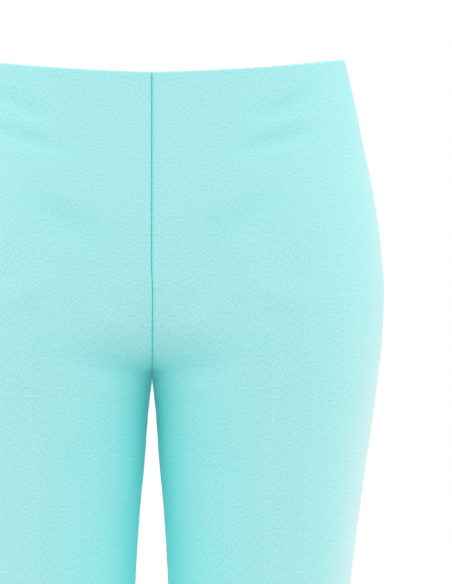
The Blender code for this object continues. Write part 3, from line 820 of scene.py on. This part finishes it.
def suiting_material():
    """Painted sheen: white mixed over the tinted cloth by share * mark * facing^power, all times the
    weave's shade.
    """
    material, tree, shader = new_material("aqua_suiting")
    cloth_map = add_node(tree, "UVMap", uv_map="cloth_map").outputs["UV"]
    threads = add_node(tree, "Group", node_tree=weave)
    fill(tree, threads, {"Map": cloth_map})
    # painted shade between the legs
    colour = mixed(tree, mark(tree, "inner"), AQUA, PAINTED_LEG_SHADE_AQUA)
    # painted highlight along the pressed crease
    pressed = math_of(tree, "MULTIPLY", mark(tree, "pressed"), CREASE_HIGHLIGHT_SHARE)
    colour = mixed(tree, pressed, colour, PAINTED_CREASE_HIGHLIGHT)
    # painted shade in the seam grooves and the fold hollows
    colour = mixed(tree, mark(tree, "turned"), colour, PAINTED_SHADE_AQUA)
    # painted sheen: the colour is mixed towards white where the cloth faces away from the view
    facing = add_node(tree, "LayerWeight", {"Blend": 0.5}).outputs["Facing"]
    grazing = math_of(tree, "POWER", facing, PAINTED_SHEEN_POWER)
    painted_sheen_share = math_of(tree, "MULTIPLY", mark(tree, "bloom"), PAINTED_SHEEN)
    colour = mixed(tree, math_of(tree, "MULTIPLY", grazing, painted_sheen_share), colour, PAINTED_SHEEN_WHITE)
    fill(
        tree,
        shader,
        {
            "Base Color": scaled(tree, colour, threads.outputs["Shade"]),
            "Roughness": 0.75,
            "Specular IOR Level": 0.25,
            "Sheen Weight": 0.10,
            "Sheen Roughness": 0.45,
            # painted light: a faint aqua glow near the crotch and the inner edges of the legs
            "Emission Color": mixed(tree, mark(tree, "glow"), BLACK, PAINTED_GLOW_AQUA),
            "Emission Strength": 1.0,
            "Normal": bump_of(tree, threads.outputs["Height"], 0.25, 0.12 * MM),
        },
    )
    return material


suiting = suiting_material()
print(suiting.name, "with", len(suiting.node_tree.nodes), "nodes")

# %% [markdown]
# ## The four panels
# Fronts and backs are cut alike on both sides. The shift makes the two sides crease a
# little differently, as the photo's do.

# %% Fronts and backs
SIDES = (("left", 1, 0.0), ("right", -1, 1.0))
cloth_sheets = {}
for panel in ("front", "back"):
    for word, side, shift in SIDES:
        name = f"{panel}_{word}"
        points, cloth_map, marks, cut = panel_sheet(panel, shift)
        piece = closed_shell(name + "_cloth", points, cloth_map, marks, side, CLOTH)
        piece.data.materials.append(suiting)
        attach(piece, "garment")
        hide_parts(name)
        widest = float(np.max(half_sections(panel, ROW_LEVEL)[4][:, -1])) + 2 * ALLOWANCE
        cloth_sheets[name] = (points, side)
        print(name, "is cut from", round(cut, 3), "m2")

# %% [markdown]
# ## Meshes from several parts
# Thread, coils and metal are each one object made of several closed parts. A part is its
# points, its walls of four-cornered faces and its two end faces, as arrays of vertex
# numbers. When all parts are in the mesh, their faces are turned outwards.

# %% Joined meshes
def joined_mesh(name, parts, material, body, sharp_from=None):
    """One object from (points, walls, ends) parts. Edges over the angle `sharp_from` stay sharp."""
    start, points, faces = 0, [], []
    for part_points, walls, ends in parts:
        points.append(part_points)
        faces += (walls + start).tolist() + (ends + start).tolist()
        start += len(part_points)
    mesh = bpy.data.meshes.new(name)
    mesh.from_pydata(np.concatenate(points).tolist(), [], faces)
    shape = bmesh.new()
    shape.from_mesh(mesh)
    bmesh.ops.recalc_face_normals(shape, faces=shape.faces)
    shape.to_mesh(mesh)
    shape.free()
    mesh.shade_smooth()
    if sharp_from is not None:
        mesh.set_sharp_from_angle(angle=sharp_from)
    mesh.materials.append(material)
    piece = bpy.data.objects.new(name, mesh)
    bpy.context.scene.collection.objects.link(piece)
    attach(piece, body)
    print(name, len(mesh.polygons), "faces")
    return piece


def ring_walls(index):
    """Quads between each ring of vertex numbers and the next."""
    after = np.roll(index, -1, axis=1)
    return np.stack([index[:-1], after[:-1], after[1:], index[1:]], 2).reshape(-1, 4)


def end_faces(index):
    """The first and last rings as faces, wound opposite ways."""
    return np.stack([index[0, ::-1], index[-1]])


def square_tube(path, normal, radius):
    """A tube of four sides round a path, with closed ends: path + radius * (n, b, -n, -b).

    Its rings turn the other way from a loft's, so its faces are reversed.
    """
    tangent = np.gradient(path, axis=0)
    tangent /= np.maximum(np.linalg.norm(tangent, axis=1, keepdims=True), 1e-12)
    side = np.cross(tangent, normal)
    side /= np.maximum(np.linalg.norm(side, axis=1, keepdims=True), 1e-12)
    up = np.cross(side, tangent)
    rings = np.stack([path + radius * way for way in (up, side, -up, -side)], 1)
    index = np.arange(len(path) * 4).reshape(-1, 4)
    return rings.reshape(-1, 3), ring_walls(index)[:, ::-1], end_faces(index)[:, ::-1]


# %% [markdown]
# ## Overlock thread
# The raw edge of every allowance is bound with an overlock stitch, so that it can't fray.
# It only shows inside, over the waist and up the hems, but that is where a maker looks
# first. The thread runs to and fro between the raw edge and a line 3 or 4 mm in from it. One
# closed tube of four sides is carried along that path, and all its runs are one mesh.

# %% Thread along every raw edge
STITCH_PITCH = 3.2 * MM  # from one stitch to the next
THREAD_RADIUS = 0.16 * MM
STITCH_IN = 0.5  # of the way to the second line of the grid, for the wide turns
THREAD_LIFT = 0.8  # of its radius, over the cloth


def zigzag(edge, inner, normal, pitch):
    """Points to and fro between two lines, every half pitch, lifted onto the cloth.

    Both lines are read at equal steps of the raw edge's own length.
    """
    length = np.concatenate([[0], np.cumsum(np.linalg.norm(np.diff(edge, axis=0), axis=1))])
    steps = int(length[-1] / (pitch / 2))
    at = np.linspace(0, length[-1], steps)

    def read(values):
        return np.stack([np.interp(at, length, column) for column in values.T], 1)

    to_inner = (np.arange(steps) % 2)[:, None]
    lift = read(normal) * (CLOTH / 2 + THREAD_RADIUS * THREAD_LIFT)
    return read(edge) * (1 - to_inner) + read(inner) * to_inner + lift, read(normal)


def raw_edges(points):
    """The four raw edges of a sheet and the lines beside them: both allowances, waist, hem."""
    hidden = len(ARC) + 3  # columns and rows that lie behind the face
    rows, cols = slice(hidden, -hidden), slice(hidden, -hidden)
    yield points[rows, 0], points[rows, 1], (rows, 0)
    yield points[rows, -1], points[rows, -2], (rows, -1)
    for row, beside in ((0, 1), (-1, -2)):
        inner = points[row, cols] * (1 - STITCH_IN) + points[beside, cols] * STITCH_IN
        yield points[row, cols], inner, (row, cols)


def yarn_material(name, colour, streak):
    """Yarn: the weave group on Object coordinates, tinted by its shade."""
    material, tree, shader = new_material(name)
    place = add_node(tree, "TexCoord").outputs["Object"]
    threads = add_node(tree, "Group", node_tree=weave)
    fill(tree, threads, {"Map": place, "Streak": streak})
    fill(
        tree,
        shader,
        {
            "Base Color": scaled(tree, colour, threads.outputs["Shade"]),
            "Roughness": 0.7,
            "Specular IOR Level": 0.3,
            "Sheen Weight": 0.2,
            "Normal": bump_of(tree, threads.outputs["Height"], 0.3, 0.1 * MM),
        },
    )
    return material


thread = yarn_material("aqua_thread", (0.52, 0.93, 0.93), 0.5)
for name, (points, side) in cloth_sheets.items():
    normal = grid_normals(points)
    middle = normal[len(points) // 3, points.shape[1] // 2, 1]
    if middle * (1 if name.startswith("back") else -1) < 0:
        normal = -normal
    mirror = np.array([side, 1, 1])
    runs = []
    for edge, inner, where in raw_edges(points):
        path, up = zigzag(edge, inner, normal[where], STITCH_PITCH)
        runs.append(square_tube(path * mirror, up * mirror, THREAD_RADIUS))
    joined_mesh(name + "_overlock", runs, thread, "garment")

# %% [markdown]
# ## The zip's tapes and coils
# A concealed zip is two woven tapes with a nylon coil sewn to the edge of each, all on the
# inside. The tapes lie on the seam's allowances, from the turned top down to hip level,
# and the two coils mesh along the centre. Each coil is a helix about a line that follows
# the seam, carried by the same four-sided tube.

# %% Tapes and coils
TAPE_TOP, TAPE_END = -0.0295, -0.196
TAPE_NEAR, TAPE_FAR = 0.7 * MM, 12.5 * MM  # distances from the seam
TAPE_DEPTH = 2.05 * MM  # inside the outer face, clear of the allowance
TAPE_THICK = 0.30 * MM
TAPE_GRID = (70, 9)  # rows, columns
COIL_RADIUS, COIL_PITCH = 0.62 * MM, 1.25 * MM
COIL_WIRE = 0.24 * MM
COIL_AT, COIL_DEPTH, COIL_END = 0.52 * MM, 3.0 * MM, -0.190
TURN_POINTS = 10


def behind_centre_back(level, at, depth):
    """Points on the back panel's sections, at distances from the seam, moved inside."""
    sections = half_sections("back", level)
    px, py, pnx, pny = on_sections(sections, np.broadcast_to(at, (len(level), np.shape(at)[-1])))
    z = level[:, None] + waist_rise(level[:, None], px, py)
    return np.stack([px - pnx * depth, py - pny * depth, z], 2)


def coil(side):
    """A helix about the line beside the seam: line + COIL_RADIUS * (cos, sin, 0)."""
    turns = (TAPE_TOP - COIL_END) / COIL_PITCH
    run = np.linspace(0, 1, int(turns * TURN_POINTS))
    angle = 2 * np.pi * turns * run + (np.pi if side < 0 else 0)
    level = TAPE_TOP + (COIL_END - TAPE_TOP) * run
    line = behind_centre_back(level, np.array([[COIL_AT]]), COIL_DEPTH)[:, 0]
    line[:, 0] = COIL_AT
    swing = np.stack([np.cos(angle), np.sin(angle), np.zeros_like(angle)], 1)
    mirror = np.array([side, 1, 1])
    return square_tube((line + COIL_RADIUS * swing) * mirror, swing * mirror, COIL_WIRE)


tape_cloth = yarn_material("aqua_tape", (0.33, 0.84, 0.84), 0.35)
nylon = yarn_material("aqua_nylon", (0.30, 0.80, 0.80), 0.2)
tape_level = np.linspace(TAPE_TOP, TAPE_END, TAPE_GRID[0])
tape_at = np.linspace(TAPE_NEAR, TAPE_FAR, TAPE_GRID[1])[None]
tape_sheet = behind_centre_back(tape_level, tape_at, TAPE_DEPTH)
for word, side, _ in SIDES:
    tape = closed_shell(f"zip_tape_{word}", tape_sheet, np.zeros(TAPE_GRID + (2,)), {}, side, TAPE_THICK)
    tape.data.materials.append(tape_cloth)
    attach(tape, "garment")
    joined_mesh(f"zip_coil_{word}", [coil(side)], nylon, "garment")

# %% [markdown]
# ## Shaping the zip's metal
# Only the slider and its drop-shaped tab show outside a concealed zip. They keep the
# model's own sizes and place, but cast metal has no sharp corners. So each part is an
# outline stacked up in a few rings, with the rings at both faces drawn in a little, and
# the tab's faces are dished inside a raised rim. Each part is made in its own directions:
# across the zip, out of the cloth and along the seam.

# %% Lofted parts
PLATE = (5.6 * MM, 1.0 * MM, 8.0 * MM)  # the slider's plate: across, out, along
EAR = (1.0 * MM, 3.6 * MM, 3.4 * MM)
EAR_INSET, EAR_SINK = 0.1 * MM, 0.2 * MM
PIN_RADIUS, PIN_STANDOFF = 0.55 * MM, 2.4 * MM
BARREL_RADIUS, BARREL_BORE, BARREL_LENGTH = 1.45 * MM, 0.85 * MM, 2.4 * MM
TAB_LENGTH, TAB_NECK, TAB_BULB, TAB_THICK = 21.0 * MM, 1.1 * MM, 2.9 * MM, 1.1 * MM
TAB_TOP = 1.15 * MM  # where the tab begins, inside the bush's wall
TAB_DISH, TAB_RIM = 0.14 * MM, 0.62 * MM
PLATE_SOFT, EAR_SOFT, TAB_SOFT, PIN_SOFT, BARREL_SOFT = (x * MM for x in (0.22, 0.16, 0.12, 0.08, 0.1))
PLATE_POWER, EAR_POWER = 4.0, 3.0  # how square their outlines are
CORNER = ((0.0, 1.6), (0.4, 0.5), (1.4, 0.0))  # height and inset, in shares of softness
OUTLINE_POINTS, TAB_STEPS = 48, 18
ROUND = np.linspace(0, 2 * np.pi, 40, endpoint=False)
QUARTER = ROUND[1 : len(ROUND) // 4 + 1]


def leaning(origin, lean):
    """A placing function: across stays X, out and along turn back by the lean."""
    cos, sin = math.cos(lean), math.sin(lean)

    def place(across, out, along):
        y = origin[1] + out * cos - along * sin
        return np.stack([across + origin[0], y, origin[2] + out * sin + along * cos], 1)

    return place


def crosswise(place, shift=0.0):
    """The same placing for an outline in (out, along) whose height runs across."""
    return lambda out, across, along: place(across + shift, out, along)


def loft(outline, profile, place):
    """A closed shape: an outline in (across, along), moved in by `inset` at each `out`.

    Each ring is outline - inset * its outward normal, at a height out of the cloth, and
    the first and last rings are filled. place(across, out, along) puts it in the frame.
    """
    way = np.roll(outline, -1, axis=0) - np.roll(outline, 1, axis=0)
    normal = np.stack([way[:, 1], -way[:, 0]], 1) / np.linalg.norm(way, axis=1, keepdims=True)
    rings = []
    for out, inset in profile:
        ring = outline - inset * normal
        rings.append(place(ring[:, 0], np.full(len(ring), out), ring[:, 1]))
    index = np.arange(len(outline) * len(profile)).reshape(len(profile), -1)
    return np.concatenate(rings), ring_walls(index), end_faces(index)


def rim(thick, start, soft, dish=0.0, border=0.0):
    """Heights and insets over a plate's edge: rounded corners, and dished faces if asked."""
    low = [(start + up * soft, inset * soft) for up, inset in CORNER]
    if dish:
        low = [(start + dish, border + dish), (start, border)] + low
    return low + [(2 * start + thick - out, inset) for out, inset in low[::-1]]


def bush(outer, bore, length, soft, place):
    """A round bush across the slider: outside, rounded ends and bore, in closed rings.

    It closes on itself, so it has walls and no end faces.
    """
    half = length / 2
    ends = [(half - soft, outer), (half, outer - soft), (half, bore + soft), (half - soft, bore)]
    profile = [(-half + soft, outer)] + ends + [(-x, radius) for x, radius in ends[:0:-1]]
    rings = [
        place(np.full(len(ROUND), x), radius * np.cos(ROUND), radius * np.sin(ROUND))
        for x, radius in profile
    ]
    index = np.arange(len(ROUND) * len(rings)).reshape(len(rings), -1)
    return np.concatenate(rings), ring_walls(np.concatenate([index, index[:1]])), index[:0]


def rounded_rectangle(width, length, out, power):
    """|x / a|^power + |z / b|^power = 1 round (out, 0), read at even angles."""
    angle = np.linspace(0, 2 * np.pi, OUTLINE_POINTS, endpoint=False)
    cos, sin = np.cos(angle), np.sin(angle)
    x = width / 2 * np.sign(cos) * np.abs(cos) ** (2 / power)
    return np.stack([x + out, length / 2 * np.sign(sin) * np.abs(sin) ** (2 / power)], 1)


def slider_parts(place):
    """The plate, two ears on it and the pin between them."""
    outline = rounded_rectangle(PLATE[0], PLATE[2], 0, PLATE_POWER)
    yield loft(outline, rim(PLATE[1], 0.0, PLATE_SOFT), place)
    outline = rounded_rectangle(EAR[1], EAR[2], PLATE[1] - EAR_SINK + EAR[1] / 2, EAR_POWER)
    for side in (-1, 1):
        ear_x = side * (PLATE[0] / 2 - EAR[0] / 2 - EAR_INSET) - EAR[0] / 2
        yield loft(outline, rim(EAR[0], 0.0, EAR_SOFT), crosswise(place, ear_x))
    circle = PIN_RADIUS * np.stack([np.cos(ROUND), np.sin(ROUND)], 1)
    length = PLATE[0] - EAR[0]
    profile = rim(length, -length / 2, PIN_SOFT)
    yield loft(circle + (PLATE[1] + PIN_STANDOFF, 0), profile, crosswise(place))


def tab_parts(place):
    """The drop and its bush. The drop widens smoothly and ends in a quarter ellipse a side."""
    straight = TAB_LENGTH - TAB_BULB
    rounding = straight + TAB_BULB * np.sin(QUARTER)
    fall = np.concatenate([np.linspace(TAB_TOP, straight, TAB_STEPS), rounding])
    wide = TAB_NECK + (TAB_BULB - TAB_NECK) * smoothstep(fall / straight)
    wide = wide * np.sqrt(np.maximum(0, 1 - (np.maximum(fall - straight, 0) / TAB_BULB) ** 2))
    left, right = np.stack([-wide, -fall], 1)[:-1], np.stack([wide, -fall], 1)[::-1]
    profile = rim(TAB_THICK, -TAB_THICK / 2, TAB_SOFT, TAB_DISH, TAB_RIM)
    yield loft(np.concatenate([right, left]), profile, place)
    yield bush(BARREL_RADIUS, BARREL_BORE, BARREL_LENGTH, BARREL_SOFT, place)


print("slider pin", PIN_RADIUS / MM, "mm in a bore of", BARREL_BORE / MM, "mm")

# %% [markdown]
# ## The slider and its tab in place
# The joint in the record gives the pin's place. The slider leans with the seam behind it,
# and the tab hangs from the pin to where the model's own tab ends. The enamel has the
# cloth's colour, a little deeper.

# %% Slider and pull tab
SHARP_ANGLE = math.radians(50)
LEAN_LEVELS = np.array([-0.0125, -0.0205])  # of the seam behind the slider
TIP_REACH = 0.002 * MM  # vertices this near to the farthest one are the tab's tip
ENAMEL = ((0.27, 0.80, 0.80, 1), (0.33, 0.88, 0.88, 1))  # its two tints
MOTTLE_SCALE = 900.0


def enamel_material():
    """Satin enamel in two close tints, mixed by a fine noise."""
    material, tree, shader = new_material("aqua_enamel")
    place = add_node(tree, "TexCoord").outputs["Object"]
    mottle = add_node(tree, "TexNoise", {"Vector": place, "Scale": MOTTLE_SCALE}).outputs["Fac"]
    fill(tree, shader, {"Base Color": mixed(tree, mottle, *ENAMEL), "Roughness": 0.38})
    return material


joints = frame["record"]["behaviour"]["joints"]
axle = np.array(next(joint["pos_m"] for joint in joints if joint["name"] == "pull_turn"), float)
tab_node = frame["nodes"]["zip_pull"]
corners = [tuple(tab_node.matrix_world @ vertex.co) for vertex in tab_node.data.vertices]
from_axle = np.array(corners) - axle
reach = np.hypot(from_axle[:, 1], from_axle[:, 2])
tip = from_axle[reach > reach.max() - TIP_REACH].mean(axis=0)
hang = math.atan2(tip[1], -tip[2])
seam = behind_centre_back(LEAN_LEVELS, np.zeros((1, 1)), 0.0)[:, 0]
lean = math.atan2(seam[1, 1] - seam[0, 1], seam[0, 2] - seam[1, 2])
seat = axle - (PLATE[1] + PIN_STANDOFF) * np.array([0, math.cos(lean), math.sin(lean)])
enamel = enamel_material()
slider = joined_mesh(
    "zip_slider_enamelled", slider_parts(leaning(seat, lean)), enamel, "garment", SHARP_ANGLE
)
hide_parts("zip_slider")
pull = joined_mesh(
    "zip_pull_enamelled", tab_parts(leaning(axle, hang)), enamel, "zip_pull", SHARP_ANGLE
)
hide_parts("zip_pull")
print("slider leans", round(math.degrees(lean), 1), "and tab", round(math.degrees(hang), 1), "degrees")

# %% [markdown]
# ## Floor and light
# The photo is a cut-out on white, lit softly from everywhere. A white world does that. It
# is a little brighter above, which brings out the folds, and at both sides, where the
# cloth rounds away. The camera sees plain white.

# %% Floor and world
FLOOR_RADIUS, FLOOR_GAP, FLOOR_POINTS = 2.2, 0.006, 96
FLOOR_GREY = (0.68, 0.68, 0.68, 1)
LIGHT_LEVEL, LIGHT_FROM_ABOVE, LIGHT_FROM_SIDES = 0.735, 0.52, 0.56
WHITE = (1, 1, 1, 1)


def floor_disc(radius, level):
    """A flat round floor: radius * (cos, sin) at one level."""
    turn = np.linspace(0, 2 * np.pi, FLOOR_POINTS, endpoint=False)
    points = np.stack([radius * np.cos(turn), radius * np.sin(turn), np.full_like(turn, level)], 1)
    mesh = bpy.data.meshes.new("floor")
    mesh.from_pydata(points.tolist(), [], [tuple(range(len(points)))])
    disc = bpy.data.objects.new("floor", mesh)
    bpy.context.scene.collection.objects.link(disc)
    material, tree, shader = new_material("pale_floor")
    fill(tree, shader, {"Base Color": FLOOR_GREY, "Roughness": 0.9})
    mesh.materials.append(material)


def studio_world():
    """White behind the garment; light on it of LEVEL * (1 + FROM_ABOVE * z + FROM_SIDES * x^2)."""
    world = bpy.data.worlds.new("studio")
    world.use_nodes = True
    tree = world.node_tree
    way = add_node(tree, "TexCoord").outputs["Generated"]
    split = add_node(tree, "SeparateXYZ", {0: way}).outputs
    above = math_of(tree, "MULTIPLY_ADD", split["Z"], LIGHT_LEVEL * LIGHT_FROM_ABOVE, LIGHT_LEVEL)
    squared = math_of(tree, "POWER", math_of(tree, "ABSOLUTE", split["X"]), 2.0)
    both = math_of(tree, "MULTIPLY_ADD", squared, LIGHT_LEVEL * LIGHT_FROM_SIDES, above)
    sky = tree.nodes["Background"]
    fill(tree, sky, {"Color": WHITE, "Strength": both})
    backdrop = add_node(tree, "Background", {"Color": WHITE})
    seen = add_node(tree, "LightPath").outputs["Is Camera Ray"]
    shown = add_node(tree, "MixShader", {0: seen, 1: sky.outputs[0], 2: backdrop.outputs[0]})
    fill(tree, tree.nodes["World Output"], {"Surface": shown.outputs[0]})
    return world


floor_disc(FLOOR_RADIUS, HEM - FLOOR_GAP)
bpy.context.scene.world = studio_world()
bpy.context.scene.view_settings.view_transform = "Standard"
print("floor at", round(HEM - FLOOR_GAP, 3))
